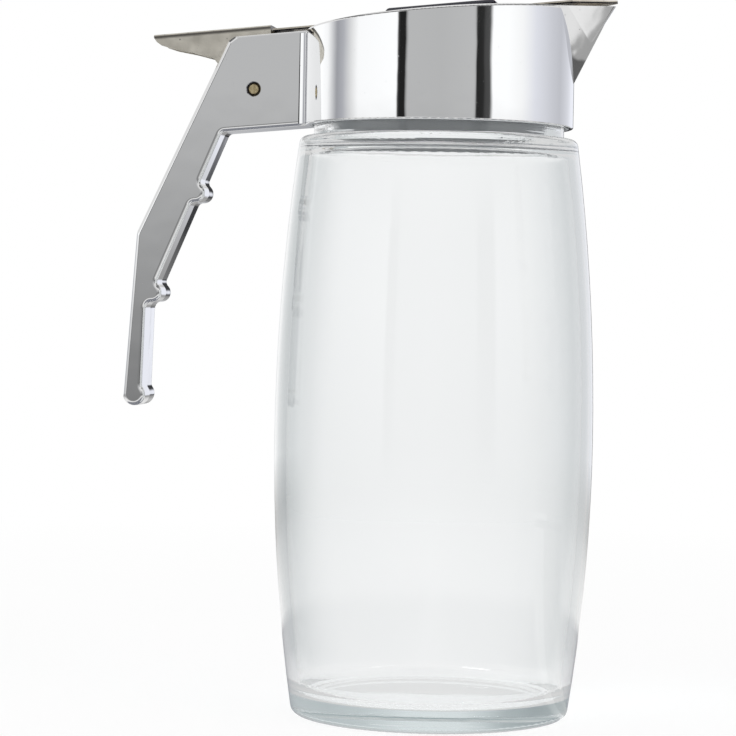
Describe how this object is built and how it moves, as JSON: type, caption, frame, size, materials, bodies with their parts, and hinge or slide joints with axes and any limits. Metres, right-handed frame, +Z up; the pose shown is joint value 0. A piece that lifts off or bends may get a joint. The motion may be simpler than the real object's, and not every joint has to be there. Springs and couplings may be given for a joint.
{
  "type": "cream dispenser",
  "caption": "Clear glass jar with a chromed pouring cap: V-shaped spout, long handle and a thumb lever that slides a flat gate back from the spout.",
  "frame": {"origin": "centre of the jar's foot, on the plane it stands on", "axes": "+Z up the jar's axis; +X towards the spout, so the handle is towards -X"},
  "size_m": [0.1677, 0.1088, 0.2438],
  "materials": {
    "clear_glass": "clear, polished",
    "chrome_plate": "mirror-bright plating",
    "brass_pin": "turned, slightly dull",
    "lever_steel": "mill finish, matt",
    "gate_steel": "mill finish, satin"
  },
  "bodies": {
    "dispenser": {"glass_jar": "clear_glass", "cap": "chrome_plate", "pin": "brass_pin", "bridge": "chrome_plate"},
    "lever": {"thumb_lever": "lever_steel"},
    "slide": {"gate": "gate_steel"}
  },
  "joints": [
    {"name": "lever_pivot", "type": "hinge", "parent": "dispenser", "child": "lever", "pos_m": [-0.0631, 0, 0.2128], "axis": [0, -1, 0], "range_deg": [0, 34], "stiffness_Nm_per_rad": 0.25, "springref_deg": -20.05},
    {"name": "gate_travel", "type": "slide", "parent": "dispenser", "child": "slide", "axis": [-0.9963, 0, -0.0854], "range_m": [0, 0.0105]}
  ],
  "couplings": [
    {"joint": "gate_travel", "follows": "lever_pivot", "m_per_rad": 0.0175}
  ]
}
